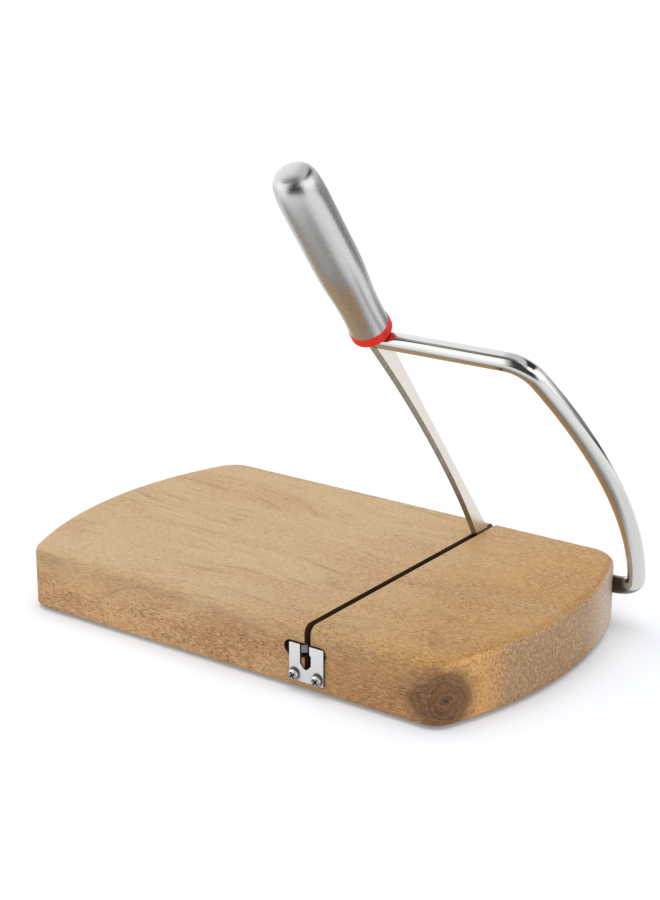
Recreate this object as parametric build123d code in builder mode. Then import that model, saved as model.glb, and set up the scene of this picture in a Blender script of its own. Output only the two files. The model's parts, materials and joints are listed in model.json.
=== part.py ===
# Cheese slicer: a wooden board with a blade frame hinged at its back edge.
# Millimetres. X runs along the board, Y to the back, Z up.
# The origin is the centre of the board's underside.
import os
from math import cos, radians, sin, sqrt

from build123d import *

os.makedirs("parts", exist_ok=True)

# Board
board_length = 293.0
board_depth = 174.0
board_thickness = 33.0
end_radius = 200.0
front_corner_radius = 12.0
rear_corner_radius = 18.0
top_edge_radius = 4.5
bottom_edge_radius = 1.2

# Blade slot across the board, open at the top, front and back
slot_from_centre = 54.0
slot_width = 3.6
slot_floor = 8.0

# Pivot of the blade frame
pivot_from_back = 10.0
lift_angle = 53.0

# Bow, a round rod
rod_diameter = 9.4
bar_front_gap = 11.3
bar_bend_radius = 15.0
side_end_gap = 5.9
side_radius = 250.0
side_widest_reach = 79.3
pin_bend_radius = 17.0
pin_past_slot = 20.0
pin_end_chamfer = 0.8
tang_length = 48.0

# Blade
blade_thickness = 1.6
blade_spine_rise = 6.6
blade_edge_drop = 6.6
eye_wall = 3.7
eye_to_edge_angle = 55.0
bevel_width = 2.7
edge_flat = 0.3
tang_width = 7.0

# Collar between the bow and the handle
collar_thickness = 5.3
collar_proud = 0.4
collar_edge_radius = 0.8
spigot_length = 5.0

# Handle
handle_length = 102.0
handle_radius = 11.5
handle_wall = 1.2
core_floor = 15.0
lock_pin_radius = 1.5
lock_pin_from_mouth = 24.0

# Front plate with its notch
plate_width = 20.2
plate_thickness = 1.2
plate_below_top = 9.9
plate_above_underside = 3.8
plate_corner_radius = 0.7
notch_left_of_slot = 3.7
notch_right_of_slot = 2.8
notch_depth = 13.6
notch_slant_height = 3.6
notch_floor_radius = 2.0
lip_width = 0.9
lip_height = 4.2

# Screws of the front plate
screw_from_plate_side = 3.3
screw_above_plate_foot = 3.0
screw_head_radius = 2.9
screw_head_height = 2.3
screw_shank_radius = 1.4
screw_length = 14.0
screw_point_length = 3.0
cross_length = 3.6
cross_width = 0.8
cross_depth = 1.3
cross_turns = (38.0, 52.0)

# Catch springs behind the plate
pocket_length = 25.0
pocket_height = 7.6
pocket_depth = 4.6
pocket_left_of_slot = 1.6
pocket_above_plate_top = 0.4
spring_height = 4.0
spring_below_plate_top = 1.0
spring_thickness = 0.5
spring_throat_depth = 3.1

# Feet
foot_radius = 6.5
foot_height = 2.0
foot_edge_radius = 0.6
foot_from_front = 13.0
foot_from_end = 25.5
foot_stem_radius = 3.0
foot_stem_length = 6.0

# Clearances
running_clearance = 0.05
seat_clearance = 0.05
spring_clearance = 0.3
face_clearance = 0.2
eye_floor_clearance = 2.4
bore_end_clearance = 1.0
overrun = 2.0

# Half sizes that several pieces share
half_length = board_length / 2
half_depth = board_depth / 2
rod_radius = rod_diameter / 2
half_blade = blade_thickness / 2
eye_radius = rod_radius + eye_wall
plate_top = board_thickness - plate_below_top
plate_height = plate_top - plate_above_underside

# The blade frame's place: pivot, and the raised direction of the handle
pivot_height = slot_floor + eye_floor_clearance + eye_radius
pivot = (slot_from_centre, half_depth - pivot_from_back, pivot_height)
rise = sin(radians(lift_angle))
run = cos(radians(lift_angle))
handle_axis = Axis(pivot, (0, -run, rise))
blade_plane = Plane(origin=pivot, x_dir=(0, -run, rise), z_dir=(1, 0, 0))
bow_plane = Plane(origin=pivot, x_dir=(1, 0, 0), z_dir=(0, -rise, -run))

# Levels along the frame, measured from the pivot: lowered, the bar clears
# the board's front and the side clears the board's end
bar_reach = board_depth - pivot_from_back + rod_radius + bar_front_gap
side_bulge = half_length - slot_from_centre + rod_radius + side_end_gap
collar_foot = bar_reach + rod_radius + face_clearance
mouth = collar_foot + collar_thickness
spigot_end = mouth + spigot_length
tang_end = bar_reach + tang_length
bore_radius = rod_radius + running_clearance
blade_face_offset = half_blade + seat_clearance


def on_frame(reach):
    """Point on the handle's axis at a distance from the pivot."""
    return (slot_from_centre, pivot[1] - reach * run, pivot[2] + reach * rise)


def cross_plane(reach):
    """Plane square to the handle's axis, facing the handle's far end."""
    return Plane(origin=on_frame(reach), x_dir=(1, 0, 0), z_dir=(0, -run, rise))


def tang_hole():
    """Hole that takes the half-round tang with the blade's tang on its flat."""
    Circle(bore_radius)
    with Locations((-blade_face_offset - bore_radius, 0)):
        Rectangle(2 * bore_radius, 2 * bore_radius, mode=Mode.SUBTRACT)


# Board outline: straight front and back, ends swelling on large arcs
arc_centre = half_length - end_radius
corner = arc_centre + sqrt(end_radius**2 - half_depth**2)
pocket_middle = (
    slot_from_centre - pocket_left_of_slot,
    plate_top + pocket_above_plate_top - pocket_height / 2,
)
screw_height = plate_above_underside + screw_above_plate_foot
screw_offset = plate_width / 2 - screw_from_plate_side
screw_places = [(slot_from_centre + side * screw_offset, screw_height) for side in (-1, 1)]
foot_x = half_length - foot_from_end
foot_y = half_depth - foot_from_front
front_plane = Plane(origin=(0, -half_depth, 0), x_dir=(1, 0, 0), z_dir=(0, -1, 0))
board_end = Plane(origin=(half_length, 0, 0), x_dir=(0, 1, 0), z_dir=(1, 0, 0))
bore_length = half_length - slot_from_centre + pin_past_slot + bore_end_clearance

with BuildPart() as board:
    with BuildSketch(Plane.XY) as outline:
        with BuildLine():
            Line((-corner, -half_depth), (corner, -half_depth))
            ThreePointArc((corner, -half_depth), (half_length, 0), (corner, half_depth))
            Line((corner, half_depth), (-corner, half_depth))
            ThreePointArc((-corner, half_depth), (-half_length, 0), (-corner, -half_depth))
        make_face()
        fillet(outline.vertices().group_by(Axis.Y)[0], front_corner_radius)
        fillet(outline.vertices().group_by(Axis.Y)[-1], rear_corner_radius)
    extrude(amount=board_thickness)
    fillet(board.faces().sort_by(Axis.Z)[-1].edges(), top_edge_radius)
    fillet(board.faces().sort_by(Axis.Z)[0].edges(), bottom_edge_radius)
    # Slot for the blade, sawn right through from front to back
    with BuildSketch(Plane.XY.offset(slot_floor)):
        with Locations((slot_from_centre, 0)):
            Rectangle(slot_width, board_depth + overrun)
    extrude(amount=board_thickness, mode=Mode.SUBTRACT)
    # Bore for the pivot pin, from the right end past the slot
    with BuildSketch(board_end):
        with Locations((pivot[1], pivot[2])):
            Circle(bore_radius)
    extrude(amount=-bore_length, mode=Mode.SUBTRACT)
    # Milled pocket for the catch springs
    with BuildSketch(front_plane):
        with Locations(pocket_middle):
            SlotOverall(pocket_length, pocket_height)
    extrude(amount=-pocket_depth, mode=Mode.SUBTRACT)
    # Pilot holes for the plate's screws
    with BuildSketch(front_plane):
        with Locations(screw_places):
            Circle(screw_shank_radius + seat_clearance)
    extrude(amount=-(screw_length - plate_thickness + bore_end_clearance), mode=Mode.SUBTRACT)
    # Sockets for the stems of the feet
    with BuildSketch(Plane.XY):
        with GridLocations(2 * foot_x, 2 * foot_y, 2, 2):
            Circle(foot_stem_radius + seat_clearance)
    extrude(amount=foot_stem_length + bore_end_clearance, mode=Mode.SUBTRACT)
board.part.label = "board"
export_step(board.part, "parts/board.step")


# Feet: rubber pads, each with a stem pressed into the board
def make_foot(name, x, y):
    with BuildPart() as foot:
        with Locations((x, y, -foot_height / 2)):
            Cylinder(foot_radius, foot_height)
        fillet(foot.faces().sort_by(Axis.Z)[0].edges(), foot_edge_radius)
        with BuildSketch(Plane.XY):
            with Locations((x, y)):
                Circle(foot_stem_radius)
        extrude(amount=foot_stem_length)
    foot.part.label = name
    export_step(foot.part, f"parts/{name}.step")


make_foot("foot_front_left", -foot_x, -foot_y)
make_foot("foot_front_right", foot_x, -foot_y)
make_foot("foot_rear_left", -foot_x, foot_y)
make_foot("foot_rear_right", foot_x, foot_y)

# Front plate: the notch has a lip on the right and slants in to a rounded floor
notch_left = slot_from_centre - notch_left_of_slot
notch_right = slot_from_centre + notch_right_of_slot
notch_middle = (notch_left + notch_right) / 2
notch_floor = plate_top - notch_depth
notch_slant = notch_floor + notch_slant_height
lip_foot = plate_top - lip_height
with BuildPart() as front_plate:
    with BuildSketch(front_plane) as plate_face:
        with Locations((slot_from_centre, plate_top - plate_height / 2)):
            RectangleRounded(plate_width, plate_height, plate_corner_radius)
        with BuildLine():
            Polyline(
                (notch_left, plate_top + overrun),
                (notch_left, notch_slant),
                (notch_middle, notch_floor),
                (notch_right, notch_slant),
                (notch_right, lip_foot - lip_width),
                (notch_right - lip_width, lip_foot),
                (notch_right - lip_width, plate_top + overrun),
                close=True,
            )
        make_face(mode=Mode.SUBTRACT)
        floor_corner = plate_face.vertices().sort_by_distance((notch_middle, notch_floor))[0]
        fillet(floor_corner, notch_floor_radius)
        with Locations(screw_places):
            Circle(screw_shank_radius + seat_clearance, mode=Mode.SUBTRACT)
    extrude(amount=plate_thickness)
front_plate.part.label = "front_plate"
export_step(front_plate.part, "parts/front_plate.step")

# Screws of the plate: pan heads with a cross recess
head_seat = front_plane.offset(plate_thickness)


def make_screw(name, place, cross_turn):
    with BuildPart() as screw:
        with BuildSketch(head_seat):
            with Locations(place):
                Circle(screw_head_radius)
        extrude(amount=screw_head_height)
        fillet(screw.faces().sort_by(Axis.Y)[0].edges(), screw_head_height / 2)
        with BuildSketch(head_seat.offset(screw_head_height)):
            with Locations(place):
                Rectangle(cross_length, cross_width, rotation=cross_turn)
                Rectangle(cross_width, cross_length, rotation=cross_turn)
        extrude(amount=-cross_depth, mode=Mode.SUBTRACT)
        with BuildSketch(head_seat):
            with Locations(place):
                Circle(screw_shank_radius)
        extrude(amount=-screw_length)
        chamfer(screw.edges().sort_by(Axis.Y)[-1], screw_point_length, screw_shank_radius / 2)
    screw.part.label = name
    export_step(screw.part, f"parts/{name}.step")


make_screw("plate_screw_left", screw_places[0], cross_turns[0])
make_screw("plate_screw_right", screw_places[1], cross_turns[1])

# Catch springs: two bent leaves. Their inner corners are drawn at the blade's
# sides and round off just clear of them.
throat = half_blade + spring_thickness / 2
wing_end = pocket_length / 2 - pocket_left_of_slot - spring_clearance
bend_start = notch_left_of_slot + spring_thickness
wing_line = spring_thickness / 2
spring_top = plate_top - spring_below_plate_top
spring_plane = Plane.XY.offset(spring_top - spring_height)


def make_spring(name, side):
    front = -half_depth
    with BuildPart() as spring:
        with BuildSketch(spring_plane):
            with BuildLine() as leaf:
                FilletPolyline(
                    (slot_from_centre + side * wing_end, front + wing_line),
                    (slot_from_centre + side * bend_start, front + wing_line),
                    (slot_from_centre + side * throat, front + spring_throat_depth),
                    (slot_from_centre + side * bend_start, front + pocket_depth - spring_thickness),
                    radius=spring_thickness,
                )
                offset(amount=spring_thickness / 2, side=Side.BOTH)
            make_face()
        extrude(amount=spring_height)
        # The wing's tip is rounded, as the end of its pocket is
        with BuildSketch(front_plane):
            with Locations((slot_from_centre, spring_top - spring_height / 2)):
                SlotOverall(2 * wing_end, spring_height)
        extrude(amount=-pocket_depth, mode=Mode.INTERSECT)
    spring.part.label = name
    export_step(spring.part, f"parts/{name}.step")


make_spring("catch_spring_left", -1)
make_spring("catch_spring_right", 1)

# Bow: top bar, swelling side and turned-in pivot pin in one bent rod,
# with a half-round tang square to the bar that lies against the blade
side_centre = side_bulge - side_radius
top_corner = side_centre + sqrt(side_radius**2 - (bar_reach - side_widest_reach) ** 2)
pin_corner = side_centre + sqrt(side_radius**2 - side_widest_reach**2)
widest = (side_bulge, side_widest_reach)
bar_bend = bow_plane.from_local_coords((top_corner, bar_reach))
pin_bend = bow_plane.from_local_coords((pin_corner, 0))
with BuildPart() as bow:
    with BuildLine(bow_plane) as rod_path:
        top_bar = Line((0, bar_reach), (top_corner, bar_reach))
        swelling_side = ThreePointArc(top_bar @ 1, widest, (pin_corner, 0))
        Line(swelling_side @ 1, (-pin_past_slot, 0))
        fillet(rod_path.vertices().sort_by_distance(pin_bend)[0], pin_bend_radius)
        fillet(rod_path.vertices().sort_by_distance(bar_bend)[0], bar_bend_radius)
    with BuildSketch(Plane(origin=on_frame(bar_reach), z_dir=(1, 0, 0))):
        Circle(rod_radius)
    sweep(path=rod_path.wire())
    chamfer(bow.edges().sort_by(Axis.X)[0], pin_end_chamfer)
    with Locations(on_frame(bar_reach)):
        Sphere(rod_radius)
    with BuildSketch(cross_plane(bar_reach)):
        Circle(rod_radius)
    extrude(amount=tang_length)
    with BuildSketch(blade_plane.offset(blade_face_offset)):
        with Locations((bar_reach + tang_length / 2, 0)):
            Rectangle(tang_length + 2 * rod_diameter, 2 * rod_diameter)
    extrude(amount=-rod_diameter, mode=Mode.SUBTRACT)
    with BuildSketch(blade_plane):
        with Locations((mouth + lock_pin_from_mouth, 0)):
            Circle(lock_pin_radius + seat_clearance)
    extrude(amount=rod_diameter, both=True, mode=Mode.SUBTRACT)
bow.part.label = "bow"
export_step(bow.part, "parts/bow.step")

# Blade: eye on the pin, straight spine, hollow cutting edge, tang in the handle
blade_top = collar_foot - face_clearance
edge_angle = radians(eye_to_edge_angle)
edge_start = (eye_radius * sin(edge_angle), eye_radius * cos(edge_angle))
edge_shares = [
    (0.135, 0.4),
    (0.243, 0.13),
    (0.368, 0.0),
    (0.541, 0.036),
    (0.727, 0.277),
    (0.892, 0.667),
    (1.0, 1.0),
]
edge_points = [(along * blade_top, drop * blade_edge_drop) for along, drop in edge_shares]
edge_directions = [(1, -0.1), (1, 0.115)]
with BuildPart() as blade:
    with BuildSketch(blade_plane) as blade_face:
        with BuildLine():
            cutting_edge = Spline(edge_start, *edge_points, tangents=edge_directions)
            Line(cutting_edge @ 1, (blade_top, -blade_spine_rise))
            Line((blade_top, -blade_spine_rise), (0, -eye_radius))
            ThreePointArc((0, -eye_radius), (-eye_radius, 0), cutting_edge @ 0)
        make_face()
        with Locations(((blade_top + tang_end) / 2, 0)):
            Rectangle(tang_end - blade_top, tang_width)
        Circle(bore_radius, mode=Mode.SUBTRACT)
        with Locations((mouth + lock_pin_from_mouth, 0)):
            Circle(lock_pin_radius + seat_clearance, mode=Mode.SUBTRACT)
    extrude(amount=half_blade, both=True)
    # The cutting edge is honed from both sides
    for outermost in (0, -1):
        flank = blade.faces().filter_by(Axis.X).sort_by(Axis.X)[outermost]
        honed = flank.edges().filter_by(GeomType.BSPLINE)
        chamfer(honed, bevel_width, half_blade - edge_flat / 2, reference=flank)
blade.part.label = "blade"
export_step(blade.part, "parts/blade.step")

# Collar: a rubber ring with a spigot inside the handle's mouth
mouth_share = 0.87
waist_share = 0.846
handle_shares = [
    (0.0, mouth_share),
    (0.06, waist_share),
    (0.17, 0.861),
    (0.355, 0.974),
    (0.56, 0.994),
    (0.755, 1.0),
    (0.875, 0.975),
    (0.957, 0.845),
    (1.0, 0.0),
]
handle_directions = [(-0.1, 1), (-1, 0)]
core_radius = waist_share * handle_radius - handle_wall - seat_clearance
with BuildPart() as collar:
    with BuildSketch(cross_plane(collar_foot)):
        Circle(mouth_share * handle_radius + collar_proud)
    extrude(amount=collar_thickness)
    fillet(collar.edges(), collar_edge_radius)
    with BuildSketch(cross_plane(mouth)):
        Circle(core_radius)
    extrude(amount=spigot_length)
    with BuildSketch(cross_plane(collar_foot)):
        tang_hole()
    extrude(amount=collar_thickness + spigot_length, mode=Mode.SUBTRACT)
collar.part.label = "collar"
export_step(collar.part, "parts/collar.step")


# Handle shell: waisted at the mouth, full in the hand, domed at the end
def handle_profile(length, inset):
    """Half profile of the handle, drawn in from the outside by an inset."""
    points = []
    for along, radius in handle_shares[:-1]:
        points.append((radius * handle_radius - inset, mouth + along * length))
    return points + [(0, mouth + length)]


with BuildPart() as handle_shell:
    with BuildSketch(bow_plane):
        with BuildLine():
            outer = Spline(*handle_profile(handle_length, 0), tangents=handle_directions)
            Polyline(outer @ 1, (0, mouth), outer @ 0)
        make_face()
    revolve(axis=handle_axis)
    with BuildSketch(bow_plane):
        with BuildLine():
            inner_points = handle_profile(handle_length - handle_wall, handle_wall)
            inner = Spline(*inner_points, tangents=handle_directions)
            Polyline(inner @ 1, (0, mouth), inner @ 0)
        make_face()
    revolve(axis=handle_axis, mode=Mode.SUBTRACT)
handle_shell.part.label = "handle_shell"
export_step(handle_shell.part, "parts/handle_shell.step")

# Core: fills the handle around the tangs
core_length = tang_end - spigot_end + core_floor
with BuildPart() as handle_core:
    with BuildSketch(cross_plane(spigot_end)):
        Circle(core_radius)
    extrude(amount=core_length)
    with BuildSketch(cross_plane(spigot_end)):
        tang_hole()
    extrude(amount=tang_end - spigot_end + face_clearance, mode=Mode.SUBTRACT)
    with BuildSketch(blade_plane):
        with Locations((mouth + lock_pin_from_mouth, 0)):
            Circle(lock_pin_radius + seat_clearance)
    extrude(amount=handle_radius, both=True, mode=Mode.SUBTRACT)
handle_core.part.label = "handle_core"
export_step(handle_core.part, "parts/handle_core.step")

# Lock pin: ties core, bow and blade together
with BuildPart() as lock_pin:
    with BuildSketch(blade_plane):
        with Locations((mouth + lock_pin_from_mouth, 0)):
            Circle(lock_pin_radius)
    extrude(amount=core_radius - face_clearance, both=True)
lock_pin.part.label = "lock_pin"
export_step(lock_pin.part, "parts/lock_pin.step")
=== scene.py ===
# Cheese slicer on a white table: finishes of its pieces, studio light and camera
import bpy
import json
from math import radians
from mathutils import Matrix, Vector


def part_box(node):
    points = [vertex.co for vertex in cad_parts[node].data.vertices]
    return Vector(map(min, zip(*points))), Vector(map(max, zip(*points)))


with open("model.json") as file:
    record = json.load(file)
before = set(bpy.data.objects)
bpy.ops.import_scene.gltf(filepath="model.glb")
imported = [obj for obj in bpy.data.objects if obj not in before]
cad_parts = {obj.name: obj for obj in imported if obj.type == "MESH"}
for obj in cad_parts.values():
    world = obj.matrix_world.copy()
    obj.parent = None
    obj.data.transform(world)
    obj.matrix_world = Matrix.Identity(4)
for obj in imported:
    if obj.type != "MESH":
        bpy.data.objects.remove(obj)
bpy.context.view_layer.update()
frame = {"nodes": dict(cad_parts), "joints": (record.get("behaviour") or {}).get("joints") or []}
nodes = frame["nodes"]
mm = 0.001

# The blade frame turns here. Raised, its handle leans forward at this angle.
hinge = Vector(frame["joints"][0]["pos_m"])
liftAngle = radians(53)


def srgb(red, green, blue):
    # colour as a picker shows it, 0 to 255, turned into the light it stands for
    light = []
    for value in (red, green, blue):
        value = value / 255
        light.append(value / 12.92 if value <= 0.04045 else ((value + 0.055) / 1.055) ** 2.4)
    return (*light, 1)


# Small helpers for node trees
def addNode(tree, kind, inputs=None, **settings):
    node = tree.nodes.new(kind)
    for name, value in settings.items():
        setattr(node, name, value)
    for name, value in (inputs or {}).items():
        if isinstance(value, bpy.types.NodeSocket):
            tree.links.new(value, node.inputs[name])
        else:
            node.inputs[name].default_value = value
    return node


def calc(tree, operation, *values):
    return addNode(tree, "ShaderNodeMath", dict(enumerate(values)), operation=operation).outputs[0]


def product(tree, first, *others):
    for value in others:
        first = calc(tree, "MULTIPLY", first, value)
    return first


def vectorCalc(tree, operation, *values):
    node = addNode(tree, "ShaderNodeVectorMath", dict(enumerate(values)), operation=operation)
    return node.outputs["Value" if operation in ("LENGTH", "DOT_PRODUCT") else "Vector"]


def parts(tree, vector):
    return tuple(addNode(tree, "ShaderNodeSeparateXYZ", {0: vector}).outputs)


def remap(tree, value, low, high, toLow=0.0, toHigh=1.0):
    inputs = {"Value": value, "From Min": low, "From Max": high, "To Min": toLow, "To Max": toHigh}
    return addNode(tree, "ShaderNodeMapRange", inputs, interpolation_type="SMOOTHSTEP").outputs["Result"]


def between(tree, value, low, high, soft=0.1 * mm):
    # 1 between two limits, 0 outside them
    return product(tree, remap(tree, value, low - soft, low), remap(tree, value, high + soft, high))


def blendValue(tree, share, first, second):
    return calc(tree, "ADD", first, product(tree, share, calc(tree, "SUBTRACT", second, first)))


def mixColour(tree, share, first, second):
    # a Mix node's colours go into sockets 6 and 7 and come out of 2
    inputs = {0: share, 6: first, 7: second}
    return addNode(tree, "ShaderNodeMix", inputs, data_type="RGBA", clamp_factor=True).outputs[2]


def mixShader(tree, share, first, second):
    return addNode(tree, "ShaderNodeMixShader", {0: share, 1: first, 2: second}).outputs[0]


def whiteLight(tree, kind, strength):
    return addNode(tree, kind, {"Color": (1, 1, 1, 1), "Strength": strength}).outputs[0]


def noise(tree, place, size, stretch=(1, 1, 1), detail=3.0, rough=0.55, offset=(0, 0, 0)):
    # size and stretch in millimetres of the piece
    scale = tuple(1 / (size * mm * along) for along in stretch)
    inputs = {"Vector": place, "Scale": scale, "Location": offset}
    mapped = addNode(tree, "ShaderNodeMapping", inputs)
    inputs = {"Vector": mapped.outputs[0], "Scale": 1.0, "Detail": detail, "Roughness": rough}
    return addNode(tree, "ShaderNodeTexNoise", inputs)


def bandNoise(tree, place, scale, detail):
    # noise along a place that is already counted in rings
    inputs = {"Vector": place, "Scale": scale, "Detail": detail}
    return addNode(tree, "ShaderNodeTexNoise", inputs).outputs["Fac"]


def addBump(tree, shader, height, strength, depth):
    bump = addNode(tree, "ShaderNodeBump", {"Height": height, "Strength": strength, "Distance": depth * mm})
    tree.links.new(bump.outputs[0], shader.inputs["Normal"])


def placeOnPiece(tree):
    return addNode(tree, "ShaderNodeTexCoord").outputs["Object"]


def placeOnFrame(tree):
    # coordinates from the hinge, with Z along the handle
    turned = {"Vector": placeOnPiece(tree), "Location": hinge, "Rotation": (radians(90) - liftAngle, 0, 0)}
    return addNode(tree, "ShaderNodeMapping", turned, vector_type="TEXTURE").outputs[0]


def facingWay(tree):
    return addNode(tree, "ShaderNodeTexCoord").outputs["Normal"]


def aroundAxis(tree, place, centre, turn=0.0):
    # distance from a line through a centre that lies along X, turned about Z, and place along that line
    settings = {"Vector": place, "Location": centre, "Rotation": (0, 0, turn)}
    turned = addNode(tree, "ShaderNodeMapping", settings, vector_type="TEXTURE").outputs[0]
    along, across, up = parts(tree, turned)
    flat = addNode(tree, "ShaderNodeCombineXYZ", {1: across, 2: up}).outputs[0]
    return vectorCalc(tree, "LENGTH", flat), along


def newMaterial(name, **plain):
    material = bpy.data.materials.new(name)
    material.use_nodes = True
    tree = material.node_tree
    shader = tree.nodes["Principled BSDF"]
    for socket, value in plain.items():
        shader.inputs[socket.replace("_", " ")].default_value = value
    return material, tree, shader


def finishNode(name, material):
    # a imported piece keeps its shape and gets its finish
    nodes[name].data.materials.clear()
    nodes[name].data.materials.append(material)


# Marks of handling, shared by metal and rubber. Here and below, a range says where a mask
# rises from 0 to 1, or with four numbers where it goes from the third to the fourth.
handling = {
    "smudgeSize": 9.0,
    "smudges": (0.42, 0.68),
    "scratchSize": 0.5,
    "scratchLong": (1, 1, 26),
    "scratches": (0.6, 0.72),
    "grainSize": 0.28,
}


def buildHandling():
    # soft smudges, fine scratches and a fine grain, each as a mask from 0 to 1
    group = bpy.data.node_groups.new("handling marks", "ShaderNodeTree")
    group.interface.new_socket(name="Place", in_out="INPUT", socket_type="NodeSocketVector")
    for name in ("Smudges", "Scratches", "Grain"):
        group.interface.new_socket(name=name, in_out="OUTPUT", socket_type="NodeSocketFloat")
    place = group.nodes.new("NodeGroupInput").outputs["Place"]
    leave = group.nodes.new("NodeGroupOutput")
    smudge = noise(group, place, handling["smudgeSize"], detail=4).outputs["Fac"]
    lines = noise(group, place, handling["scratchSize"], handling["scratchLong"], detail=2).outputs["Fac"]
    grain = noise(group, place, handling["grainSize"], detail=2).outputs["Fac"]
    group.links.new(remap(group, smudge, *handling["smudges"]), leave.inputs["Smudges"])
    group.links.new(remap(group, lines, *handling["scratches"]), leave.inputs["Scratches"])
    group.links.new(grain, leave.inputs["Grain"])
    return group


handlingMarks = buildHandling()


def addMarks(tree, place):
    return addNode(tree, "ShaderNodeGroup", {"Place": place}, node_tree=handlingMarks).outputs


print("shared effects ready")

# Wood of the board: one block cut across an old branch
wood = {
    "pale": srgb(196, 166, 123),
    "tan": srgb(188, 153, 108),
    "golden": srgb(190, 142, 82),
    "peach": srgb(220, 171, 119),
    "umber": srgb(182, 132, 82),
    "rust": srgb(184, 130, 84),
    "dark": srgb(110, 74, 46),
    "pore": srgb(82, 52, 32),
    # the darkest brown: the knot's heart, and the painted shade in the slot and the pocket
    "sawn": srgb(58, 36, 24),
    "light": srgb(236, 204, 150),
    "knotTone": srgb(132, 88, 54),
    "endGold": srgb(238, 178, 104),
    "endGrey": srgb(182, 146, 112),
    "endFar": srgb(234, 212, 194),
    # growth rings, their slow waves and the paler and darker bands that they make
    "pith": Vector((0, -150, -70)) * mm,
    "waveSize": 60,
    "waveLong": (3.4, 1, 1),
    "waveDepth": (0, 0.09, 0.09),
    "ringWidth": 6.0 * mm,
    "ringDrift": 9.0,
    "broadScale": 0.42,
    "fineScale": 2.3,
    "bandShift": 0.12,
    "goldenFrom": (0.0, 0.12),
    "tanBands": (0.44, 0.66, 0.0, 0.7),
    "darkLines": (0.52, 0.74, 0.0, 0.3),
    # the warm lower front, partly painted light, and the redder patches
    "frontFacing": (-0.3, -0.9),
    "frontBelow": (0.034, 0.014),
    "frontWave": 0.02,
    "frontShare": 0.85,
    "umberFrom": (0.0, 0.09),
    "patchSize": 26,
    "patchLong": (2.4, 1, 1),
    "rustPatches": (0.48, 0.68, 0.0, 0.62),
    "rustOnFront": (0, 1, 0.4, 1.0),
    # end grain
    "endFacing": (0.6, 0.88),
    "endShare": 0.85,
    "greyFrom": (-0.066, -0.04),
    "farFrom": (0.015, 0.06),
    "dotSize": 1.3,
    "darkDots": (0.5, 0.64, 0.0, 0.65),
    "lightDots": (0.48, 0.38, 0.0, 0.55),
    # the knot
    "knotAt": Vector((134.5, -86.5, 12.5)) * mm,
    "knotTurn": radians(-40),
    "knotReach": 18.5 * mm,
    "knotNear": 2.4,
    "knotCore": (0.5, 1.15),
    "knotTaper": (0.03, 0.08, 0.0, 0.04),
    "wobbleSize": 8,
    "knotWobble": 0.009,
    "knotPush": 0.026,
    "knotRing": 1.5 * mm,
    "knotBands": (0.4, 0.58),
    "knotDots": (0.45, 0.3, 0.0, 0.2),
    "knotShare": 0.92,
    "knotHeart": (0.3 * mm, 1.8 * mm, 0.9, 0.0),
    # fibres and flecks, and where they stand out
    "fibreSize": 0.7,
    "fibreLong": (5, 1, 1),
    "darkFibres": (0.48, 0.62, 0.0, 0.42),
    "lightFibres": (0.49, 0.38, 0.0, 0.36),
    "fibreFaint": (0, 1, 0.3, 1.0),
    "fleckSize": 0.72,
    "fleckLong": (2.8, 1, 1),
    "fleckLimit": (0, 1, 0.69, 0.58),
    "fleckShare": 0.55,
    "frontLively": 0.8,
    "topLively": (0.0, 0.1, 0.4, 0.66),
    "patchLively": (0.35, 0.62, 0.65, 1.15),
    "endLively": (0, 1, 1.0, 0.6),
    "knotLively": (0, 1, 1.0, 0.3),
    # painted shade on the walls inside the slot and the pocket
    "slotWalls": (0.0522, 0.0558),
    "slotFloor": (0.0074, 0.0078),
    "pocketFrom": Vector((38.5, -86.8, 14.0)) * mm,
    "pocketTo": Vector((64.5, -80.0, 24.5)) * mm,
    "sawnShare": 0.93,
    # surface
    "ior": 1.46,
    "rough": (0.3, 0.7, 0.44, 0.64),
    "fibreHeight": 0.5,
    "fleckHeight": -0.9,
    "bump": 0.3,
    "bumpDepth": 0.12,
}


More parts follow.
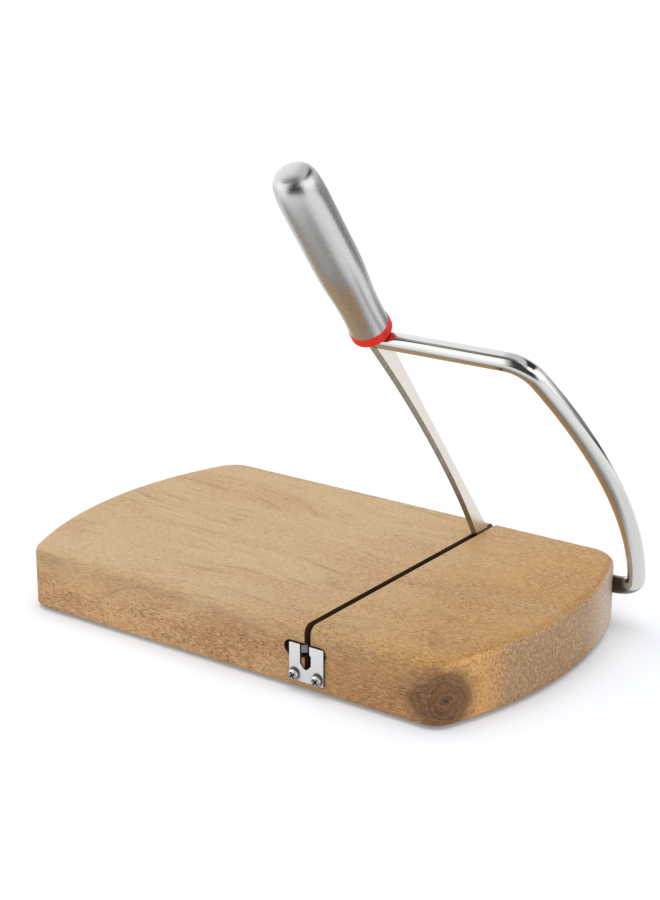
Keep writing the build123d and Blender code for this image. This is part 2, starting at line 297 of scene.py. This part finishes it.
def woodMaterial():
    material, tree, shader = newMaterial("oiled acacia", IOR=wood["ior"])
    place = placeOnPiece(tree)
    x, y, z = parts(tree, place)
    facingX, facingY, facingZ = parts(tree, facingWay(tree))
    # the knot, and how near each point is to it
    wobble = calc(tree, "SUBTRACT", noise(tree, place, wood["wobbleSize"], detail=3).outputs["Fac"], 0.5)
    knotAway, knotAlong = aroundAxis(tree, place, wood["knotAt"], wood["knotTurn"])
    taper = remap(tree, calc(tree, "ABSOLUTE", knotAlong), *wood["knotTaper"])
    knotAway = calc(tree, "ADD", knotAway, taper)
    knotAway = calc(tree, "ADD", knotAway, product(tree, wobble, wood["knotWobble"]))
    reach = wood["knotReach"]
    nearKnot = remap(tree, knotAway, reach, reach * wood["knotNear"], 1.0, 0.0)
    inKnot = remap(tree, knotAway, reach * wood["knotCore"][0], reach * wood["knotCore"][1], 1.0, 0.0)
    # growth rings about the tree's own middle, bent by slow waves and pushed aside by the knot
    drift = noise(tree, place, wood["waveSize"], wood["waveLong"], detail=2, rough=0.5).outputs["Color"]
    bend = vectorCalc(tree, "SUBTRACT", drift, (0.5, 0.5, 0.5))
    bend = vectorCalc(tree, "MULTIPLY", bend, wood["waveDepth"])
    fromPith = aroundAxis(tree, vectorCalc(tree, "ADD", place, bend), wood["pith"])[0]
    fromPith = calc(tree, "ADD", fromPith, product(tree, nearKnot, wood["knotPush"]))
    rings = product(tree, fromPith, 1 / wood["ringWidth"])
    ringPlace = {0: rings, 1: product(tree, x, wood["ringDrift"])}
    ringPlace = addNode(tree, "ShaderNodeCombineXYZ", ringPlace).outputs[0]
    broad = bandNoise(tree, ringPlace, wood["broadScale"], 2.0)
    fine = bandNoise(tree, ringPlace, wood["fineScale"], 3.0)
    # paler on the left, golden to the right, partly the wood's tone and partly painted light
    shifted = calc(tree, "ADD", x, product(tree, calc(tree, "SUBTRACT", broad, 0.5), wood["bandShift"]))
    colour = mixColour(tree, remap(tree, shifted, *wood["goldenFrom"]), wood["pale"], wood["golden"])
    colour = mixColour(tree, remap(tree, broad, *wood["tanBands"]), colour, wood["tan"])
    # the lower front is warmer, and browner to the right, partly the wood's tone and partly painted light
    # on the front face
    waved = calc(tree, "ADD", z, product(tree, wobble, wood["frontWave"]))
    front = remap(tree, facingY, *wood["frontFacing"])
    front = product(tree, front, remap(tree, waved, *wood["frontBelow"]))
    warm = mixColour(tree, remap(tree, x, *wood["umberFrom"]), wood["peach"], wood["umber"])
    colour = mixColour(tree, product(tree, front, wood["frontShare"]), colour, warm)
    patches = noise(tree, place, wood["patchSize"], wood["patchLong"], offset=(3, 1, 2)).outputs["Fac"]
    redder = remap(tree, patches, *wood["rustPatches"])
    redder = product(tree, redder, remap(tree, front, *wood["rustOnFront"]))
    colour = mixColour(tree, redder, colour, wood["rust"])
    colour = mixColour(tree, remap(tree, fine, *wood["darkLines"]), colour, wood["dark"])
    # end grain: golden beside the knot, then grey, then pale at the back, where the pale is partly painted
    # light
    endTone = mixColour(tree, remap(tree, y, *wood["greyFrom"]), wood["endGold"], wood["endGrey"])
    endTone = mixColour(tree, remap(tree, y, *wood["farFrom"]), endTone, wood["endFar"])
    dots = noise(tree, place, wood["dotSize"], rough=0.8, offset=(1, 4, 6)).outputs["Fac"]
    endTone = mixColour(tree, remap(tree, dots, *wood["darkDots"]), endTone, wood["dark"])
    endTone = mixColour(tree, remap(tree, dots, *wood["lightDots"]), endTone, wood["light"])
    endwise = remap(tree, calc(tree, "ABSOLUTE", facingX), *wood["endFacing"])
    colour = mixColour(tree, product(tree, endwise, wood["endShare"]), colour, endTone)
    # the knot: a small dark heart, tight uneven rings, fading into the wood round it
    tight = product(tree, knotAway, 1 / wood["knotRing"])
    uneven = bandNoise(tree, addNode(tree, "ShaderNodeCombineXYZ", {0: tight}).outputs[0], 1.0, 2.0)
    knotTone = mixColour(tree, remap(tree, uneven, *wood["knotBands"]), wood["knotTone"], wood["pore"])
    knotTone = mixColour(tree, remap(tree, dots, *wood["knotDots"]), knotTone, wood["tan"])
    colour = mixColour(tree, product(tree, inKnot, wood["knotShare"]), colour, knotTone)
    colour = mixColour(tree, remap(tree, knotAway, *wood["knotHeart"]), colour, wood["sawn"])
    # fibres and pores run along the board, and show as dots on its ends
    lively = product(tree, front, wood["frontLively"])
    lively = calc(tree, "MAXIMUM", lively, remap(tree, shifted, *wood["topLively"]))
    for mask, name in ((patches, "patchLively"), (endwise, "endLively"), (inKnot, "knotLively")):
        lively = product(tree, lively, remap(tree, mask, *wood[name]))
    faint = remap(tree, lively, *wood["fibreFaint"])
    fibre = noise(tree, place, wood["fibreSize"], wood["fibreLong"], detail=5, rough=0.75).outputs["Fac"]
    for name, tone in (("darkFibres", "dark"), ("lightFibres", "light")):
        colour = mixColour(tree, product(tree, remap(tree, fibre, *wood[name]), faint), colour, wood[tone])
    flecks = noise(tree, place, wood["fleckSize"], wood["fleckLong"], detail=2, rough=0.6, offset=(5, 2, 9))
    flecks = calc(tree, "GREATER_THAN", flecks.outputs["Fac"], remap(tree, lively, *wood["fleckLimit"]))
    flecks = product(tree, flecks, wood["fleckShare"])
    colour = mixColour(tree, flecks, colour, wood["pore"])
    # painted shade darkens the walls inside the slot and the pocket
    inSlot = product(tree, between(tree, x, *wood["slotWalls"]), remap(tree, z, *wood["slotFloor"]))
    low, high = wood["pocketFrom"], wood["pocketTo"]
    sides = [between(tree, value, *ends) for value, ends in zip((x, y, z), zip(low, high))]
    sawn = calc(tree, "MAXIMUM", inSlot, product(tree, *sides))
    colour = mixColour(tree, product(tree, sawn, wood["sawnShare"]), colour, wood["sawn"])
    tree.links.new(colour, shader.inputs["Base Color"])
    fibreHeight = product(tree, fibre, wood["fibreHeight"])
    height = calc(tree, "ADD", fibreHeight, product(tree, flecks, wood["fleckHeight"]))
    addBump(tree, shader, height, wood["bump"], wood["bumpDepth"])
    tree.links.new(remap(tree, fibre, *wood["rough"]), shader.inputs["Roughness"])
    return material


finishNode("board", woodMaterial())
print("board finished")

# Metal with a few smudges and scratches
wear = {"smudgeRough": 0.04, "scratchRough": 0.06, "bump": 0.1, "bumpDepth": 0.02}


def metalMaterial(name, colour, rough, onFrame=False):
    material, tree, shader = newMaterial(name, Metallic=1.0, Base_Color=colour)
    marks = addMarks(tree, placeOnFrame(tree) if onFrame else placeOnPiece(tree))
    smudged = product(tree, marks["Smudges"], wear["smudgeRough"])
    scratched = product(tree, marks["Scratches"], wear["scratchRough"])
    rougher = calc(tree, "ADD", calc(tree, "ADD", smudged, scratched), rough)
    tree.links.new(rougher, shader.inputs["Roughness"])
    addBump(tree, shader, marks["Scratches"], wear["bump"], wear["bumpDepth"])
    return material, tree, shader


# The rod is polished, and its pin beside the board is dark brown
rod = {
    "colour": srgb(208, 208, 206),
    "rough": 0.04,
    "darkPin": srgb(52, 38, 28),
    "darkPinRadius": (6 * mm, 9 * mm, 0.88, 0.0),
    "darkPinEnds": (100 * mm, 108 * mm, 1.0, 0.0),
}
rodMetal, tree, shader = metalMaterial("polished rod", rod["colour"], rod["rough"], onFrame=True)
away, along = aroundAxis(tree, placeOnPiece(tree), hinge)
darkPin = product(tree, remap(tree, away, *rod["darkPinRadius"]), remap(tree, along, *rod["darkPinEnds"]))
tree.links.new(mixColour(tree, darkPin, rod["colour"], rod["darkPin"]), shader.inputs["Base Color"])
finishNode("bow", rodMetal)

# Screw heads: painted shade darkens the cross in each head and the sides of the heads
screws = {
    "colour": srgb(246, 245, 240),
    "rough": 0.3,
    "middle": 54 * mm,
    "apart": 6.8 * mm,
    "level": 6.8 * mm,
    "front": -90.5 * mm,
    "dome": 0.27 / mm,
    "recess": srgb(20, 18, 16),
    "recessDepth": (0.15 * mm, 0.35 * mm),
    "recessRadius": (1.95 * mm, 2.05 * mm, 1.0, 0.0),
    "rimShade": srgb(58, 54, 50),
    "rimFacing": (0.45, 0.25, 0.0, 0.8),
}


def fromScrew(tree, lift=0.0):
    # distance from the nearer screw's middle, seen from the front, and depth behind its front
    x, y, z = parts(tree, placeOnPiece(tree))
    across = calc(tree, "ABSOLUTE", calc(tree, "SUBTRACT", x, screws["middle"]))
    across = calc(tree, "SUBTRACT", across, screws["apart"])
    up = calc(tree, "SUBTRACT", z, screws["level"] + lift)
    squared = calc(tree, "ADD", product(tree, across, across), product(tree, up, up))
    return calc(tree, "SQRT", squared), calc(tree, "SUBTRACT", y, screws["front"])


screwMetal, tree, shader = metalMaterial("screw metal", screws["colour"], screws["rough"])
away, depth = fromScrew(tree)
sunk = calc(tree, "SUBTRACT", depth, product(tree, away, away, screws["dome"]))
# painted shade in the cross of each head
recess = remap(tree, sunk, *screws["recessDepth"])
recess = product(tree, recess, remap(tree, away, *screws["recessRadius"]))
# painted shade on the sides of the heads
rimShade = remap(tree, calc(tree, "ABSOLUTE", parts(tree, facingWay(tree))[1]), *screws["rimFacing"])
screwColour = mixColour(tree, rimShade, screws["colour"], screws["rimShade"])
tree.links.new(mixColour(tree, recess, screwColour, screws["recess"]), shader.inputs["Base Color"])
for name in ("plate_screw_left", "plate_screw_right"):
    finishNode(name, screwMetal)

# The plate's cut edges are painted dark as shade, and the screw heads' painted shadow lies round and above
# them
plate = {
    "colour": srgb(248, 248, 246),
    "rough": 0.3,
    "metallic": 0.3,
    "plateShade": srgb(58, 54, 50),
    "edgeFacing": (0.6, 0.8),
    "headShadowLift": 0.9 * mm,
    "headShadow": (2.7 * mm, 3.3 * mm, 0.85, 0.0),
}
plateMetal, tree, shader = metalMaterial("plate metal", plate["colour"], plate["rough"])
shader.inputs["Metallic"].default_value = plate["metallic"]
facingX, facingY, facingZ = parts(tree, facingWay(tree))
sideways = calc(tree, "MAXIMUM", calc(tree, "ABSOLUTE", facingX), calc(tree, "ABSOLUTE", facingZ))
# painted shade on the cut edges, and painted shadow round and above each screw head
edges = remap(tree, sideways, *plate["edgeFacing"])
headShadow = remap(tree, fromScrew(tree, plate["headShadowLift"])[0], *plate["headShadow"])
dark = calc(tree, "MAXIMUM", edges, headShadow)
tree.links.new(mixColour(tree, dark, plate["colour"], plate["plateShade"]), shader.inputs["Base Color"])
finishNode("front_plate", plateMetal)

# Plain spring steel
spring = {"colour": srgb(188, 188, 186), "rough": 0.2}
springMetal = metalMaterial("spring metal", spring["colour"], spring["rough"])[0]
for name in ("catch_spring_left", "catch_spring_right", "lock_pin"):
    finishNode(name, springMetal)

# The blade is ground: its bevel is coarser than its faces, and its darker olive tone is a painted
# reflection
blade = {
    "colour": srgb(230, 224, 218),
    "rough": 0.28,
    "bevel": srgb(128, 118, 92),
    "ground": srgb(188, 188, 186),
    "edgeWay": Vector((0, -0.8, -0.6)),
    "bevelFacing": (0.06, 0.16),
    "lineSize": 0.5,
    "lineLong": (12, 12, 1),
    "lines": (0.35, 0.65, 0.0, 0.4),
}
bladeMetal, tree, shader = metalMaterial("ground blade", blade["colour"], blade["rough"], onFrame=True)
# painted reflection: darker olive on the bevel, streaked with grinding lines
bevel = vectorCalc(tree, "DOT_PRODUCT", facingWay(tree), blade["edgeWay"])
bevel = remap(tree, bevel, *blade["bevelFacing"])
grinding = noise(tree, placeOnFrame(tree), blade["lineSize"], blade["lineLong"]).outputs["Fac"]
bevelTone = mixColour(tree, remap(tree, grinding, *blade["lines"]), blade["bevel"], blade["ground"])
tree.links.new(mixColour(tree, bevel, blade["colour"], bevelTone), shader.inputs["Base Color"])
finishNode("blade", bladeMetal)

# The handle is brushed round its length, and a little mottled
handle = {
    "colour": srgb(202, 203, 203),
    "brushSize": 0.32,
    "brushLong": (9, 9, 1),
    "brushShare": 0.6,
    "mottleSize": 1.0,
    "mottleLong": (1.6, 1.6, 1),
    "mottleShare": 0.4,
    "rough": (0.35, 0.65, 0.24, 0.38),
    "bump": 0.5,
    "bumpDepth": 0.05,
}
handleMetal, tree, shader = newMaterial("brushed handle", Metallic=1.0, Base_Color=handle["colour"])
place = placeOnFrame(tree)
brushed = noise(tree, place, handle["brushSize"], handle["brushLong"], rough=0.7).outputs["Fac"]
mottled = noise(tree, place, handle["mottleSize"], handle["mottleLong"], rough=0.7, offset=(2, 7, 1))
mottled = product(tree, mottled.outputs["Fac"], handle["mottleShare"])
grain = calc(tree, "ADD", product(tree, brushed, handle["brushShare"]), mottled)
tree.links.new(remap(tree, grain, *handle["rough"]), shader.inputs["Roughness"])
addBump(tree, shader, grain, handle["bump"], handle["bumpDepth"])
finishNode("handle_shell", handleMetal)
print("metal finished")

# Rubber of the collar and feet, plastic of the core
moulded = {
    "red": srgb(238, 32, 22),
    "core": srgb(70, 72, 74),
    "rough": (0, 1, 0.42, 0.57),
    "bump": 0.2,
    "bumpDepth": 0.05,
}


def mouldedMaterial(name, colour):
    material, tree, shader = newMaterial(name, Base_Color=colour)
    marks = addMarks(tree, placeOnPiece(tree))
    tree.links.new(remap(tree, marks["Smudges"], *moulded["rough"]), shader.inputs["Roughness"])
    addBump(tree, shader, marks["Grain"], moulded["bump"], moulded["bumpDepth"])
    return material


redRubber = mouldedMaterial("red rubber", moulded["red"])
for name in ("collar", "foot_front_left", "foot_front_right", "foot_rear_left", "foot_rear_right"):
    finishNode(name, redRubber)
finishNode("handle_core", mouldedMaterial("core plastic", moulded["core"]))
print("rubber and plastic finished")

# The side of the room that the photo was taken from is dark in polished metal.
# It is fixed in the room, whichever way the slicer is looked at.
darkSide = {"way": Vector((0.5, -0.866, 0)), "spread": (0.68, 0.92), "level": 0.07}


def towardsDark(tree, way):
    # how much a level direction points to the dark side
    flat = vectorCalc(tree, "NORMALIZE", vectorCalc(tree, "MULTIPLY", way, (1, 1, 0)))
    return remap(tree, vectorCalc(tree, "DOT_PRODUCT", flat, darkSide["way"]), *darkSide["spread"])


# White table. Polished metal shows it by place, as if under a studio's boxes: bright round
# the slicer, dim in its shadow and far off at the back on the right, dark on the dark side.
table = {
    "radius": 3.0,
    "white": srgb(233, 237, 243),
    "rough": 0.9,
    "glow": 0.16,
    "boardHalf": Vector((140, 84, 0)) * mm,
    "shadow": (0.0, 0.15, 0.26, 1.0),
    "lessBehind": (0.01, 0.06, 0.0, 0.12),
    "leftFrontX": (0.02, -0.15),
    "leftFrontY": (-0.18, -0.5),
    "leftFront": 1.35,
    "brighterRight": (0.28, 0.42, 1.0, 1.18),
    "backX": (0.12, 0.32),
    "back": (((0.6, 1.0), 0.25), ((0.9, 1.5), 0.08)),
    "darkFrom": (0.36, 0.6),
}


def mirroredTable(tree):
    # how bright each spot of the table looks in polished metal
    place = placeOnPiece(tree)
    x, y, z = parts(tree, place)
    besideX = calc(tree, "SUBTRACT", calc(tree, "ABSOLUTE", x), table["boardHalf"].x)
    besideY = calc(tree, "SUBTRACT", calc(tree, "ABSOLUTE", y), table["boardHalf"].y)
    beside = calc(tree, "MAXIMUM", besideX, besideY)
    beside = calc(tree, "ADD", beside, remap(tree, y, *table["lessBehind"]))
    level = remap(tree, beside, *table["shadow"])
    leftFront = product(tree, remap(tree, y, *table["leftFrontY"]), remap(tree, x, *table["leftFrontX"]))
    level = blendValue(tree, leftFront, level, table["leftFront"])
    level = product(tree, level, remap(tree, x, *table["brighterRight"]))
    right = remap(tree, x, *table["backX"])
    for ends, dim in table["back"]:
        level = blendValue(tree, product(tree, right, remap(tree, y, *ends)), level, dim)
    far = remap(tree, vectorCalc(tree, "LENGTH", place), *table["darkFrom"])
    return blendValue(tree, product(tree, towardsDark(tree, place), far), level, darkSide["level"])


def buildTable():
    bpy.ops.object.select_all(action="DESELECT")
    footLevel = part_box("foot_front_right")[0].z
    bpy.ops.mesh.primitive_circle_add(
        vertices=96, radius=table["radius"], fill_type="NGON", location=(0, 0, footLevel))
    floor = bpy.context.object
    floor.name = "table_top"
    material, tree, shader = newMaterial("white table", Base_Color=table["white"], Roughness=table["rough"])
    shader.inputs["Specular IOR Level"].default_value = 0.0
    path = addNode(tree, "ShaderNodeLightPath").outputs
    glow = whiteLight(tree, "ShaderNodeEmission", table["glow"])
    seen = addNode(tree, "ShaderNodeAddShader", {0: shader.outputs[0], 1: glow}).outputs[0]
    seen = mixShader(tree, path["Is Camera Ray"], shader.outputs[0], seen)
    mirrored = whiteLight(tree, "ShaderNodeEmission", mirroredTable(tree))
    whole = mixShader(tree, path["Is Glossy Ray"], seen, mirrored)
    tree.links.new(whole, tree.nodes["Material Output"].inputs["Surface"])
    floor.data.materials.append(material)


buildTable()
print("table laid")

# Studio: soft light that is stronger from the front, a broad key lamp overhead,
# and the boxes and gaps that polished metal mirrors
studio = {
    "fill": (-0.4, 0.4, 0.9, 0.56),
    "key": 1.15,
    "keySpread": radians(50),
    "keyFrom": Vector((-0.06, 0.06, 1.0)),
    "overhead": (-0.6, -0.25, 1.3, 0.8),
    # boxes at the left front and at the right
    "leftBoxX": (-0.2, -0.45),
    "leftBoxY": (-0.15, -0.5),
    "rightBoxX": (0.62, 0.76),
    "boxes": 1.55,
    # a seam between the boxes over the left half
    "leastHeight": 0.02,
    "seamAt": -0.72,
    "seamHalf": 0.42,
    "seamSoft": (0.6, 1.3, 1.0, 0.0),
    "seamRight": (0.1, 0.35, 1.0, 0.0),
    "seamLeft": (-0.78, -0.56),
    "seam": 0.22,
    # a dark gap over the right half, behind
    "gapMiddle": Vector((0.46, 0.39, 0.8)),
    "gapAcross": Vector((0.666, 0.402, -0.627)),
    "gapLong": (0.78, 0.84),
    "gapWide": (0.14, 0.26, 1.0, 0.0),
    "gap": 0.05,
    # dim low at the back
    "lowZ": (0.2, 0.05),
    "lowY": (0.4, 0.8),
    "lowX": (-0.4, 0.0),
    "low": 0.3,
    # the dark side reaches higher at the left than at the right
    "darkTop": (0.3, 0.75, -1.4, -0.4),
    "darkSoft": (-0.08, 0.08),
}


def mirroredSky(tree):
    # brightness of the room by direction, as polished metal shows it
    way = addNode(tree, "ShaderNodeTexCoord").outputs["Generated"]
    x, y, z = parts(tree, way)
    level = remap(tree, x, *studio["overhead"])
    leftBox = product(tree, remap(tree, y, *studio["leftBoxY"]), remap(tree, x, *studio["leftBoxX"]))
    rightBox = remap(tree, x, *studio["rightBoxX"])
    level = blendValue(tree, calc(tree, "MAXIMUM", leftBox, rightBox), level, studio["boxes"])
    lean = calc(tree, "DIVIDE", y, calc(tree, "MAXIMUM", z, studio["leastHeight"]))
    offSeam = calc(tree, "ABSOLUTE", calc(tree, "SUBTRACT", lean, studio["seamAt"]))
    offSeam = calc(tree, "DIVIDE", offSeam, studio["seamHalf"])
    seam = remap(tree, offSeam, *studio["seamSoft"])
    seam = product(tree, seam, remap(tree, x, *studio["seamRight"]), remap(tree, x, *studio["seamLeft"]))
    level = blendValue(tree, seam, level, studio["seam"])
    along = vectorCalc(tree, "DOT_PRODUCT", way, studio["gapMiddle"])
    across = calc(tree, "ABSOLUTE", vectorCalc(tree, "DOT_PRODUCT", way, studio["gapAcross"]))
    gap = product(tree, remap(tree, along, *studio["gapLong"]), remap(tree, across, *studio["gapWide"]))
    level = blendValue(tree, gap, level, studio["gap"])
    low = product(tree, remap(tree, z, *studio["lowZ"]), remap(tree, y, *studio["lowY"]))
    low = product(tree, low, remap(tree, x, *studio["lowX"]))
    level = blendValue(tree, low, level, studio["low"])
    below = calc(tree, "SUBTRACT", product(tree, y, remap(tree, x, *studio["darkTop"])), z)
    dark = product(tree, towardsDark(tree, way), remap(tree, below, *studio["darkSoft"]))
    return blendValue(tree, dark, level, darkSide["level"])


def buildStudio():
    world = bpy.data.worlds.new("studio")
    bpy.context.scene.world = world
    world.use_nodes = True
    tree = world.node_tree
    tree.nodes.clear()
    path = addNode(tree, "ShaderNodeLightPath").outputs
    depth = parts(tree, addNode(tree, "ShaderNodeTexCoord").outputs["Generated"])[1]
    white = whiteLight(tree, "ShaderNodeBackground", 1.0)
    even = whiteLight(tree, "ShaderNodeBackground", remap(tree, depth, *studio["fill"]))
    mirrored = whiteLight(tree, "ShaderNodeBackground", mirroredSky(tree))
    whole = mixShader(tree, path["Is Glossy Ray"], even, mirrored)
    whole = mixShader(tree, path["Is Camera Ray"], whole, white)
    output = addNode(tree, "ShaderNodeOutputWorld")
    tree.links.new(whole, output.inputs["Surface"])
    bpy.ops.object.select_all(action="DESELECT")
    bpy.ops.object.light_add(type="SUN")
    key = bpy.context.object
    key.name = "key_lamp"
    key.data.energy = studio["key"]
    key.data.angle = studio["keySpread"]
    key.rotation_euler = studio["keyFrom"].to_track_quat("Z", "Y").to_euler()
    key.visible_glossy = False


buildStudio()
print("studio lit")

# Camera where the photograph was taken from
view = {
    "place": Vector((552.6, -762.5, 398.4)) * mm,
    "pitch": radians(18.27),
    "heading": radians(35.7),
    "lens": 76.68,
    "sensor": 36,
    "nearest": 0.05,
    "farthest": 20,
}
turn = (radians(90) - view["pitch"], 0, view["heading"])
bpy.ops.object.camera_add(location=view["place"], rotation=turn)
camera = bpy.context.object
camera.data.sensor_width = view["sensor"]
camera.data.lens = view["lens"]
camera.data.clip_start = view["nearest"]
camera.data.clip_end = view["farthest"]
bpy.context.scene.camera = camera
bpy.context.scene.view_settings.view_transform = "Standard"
print("camera set")
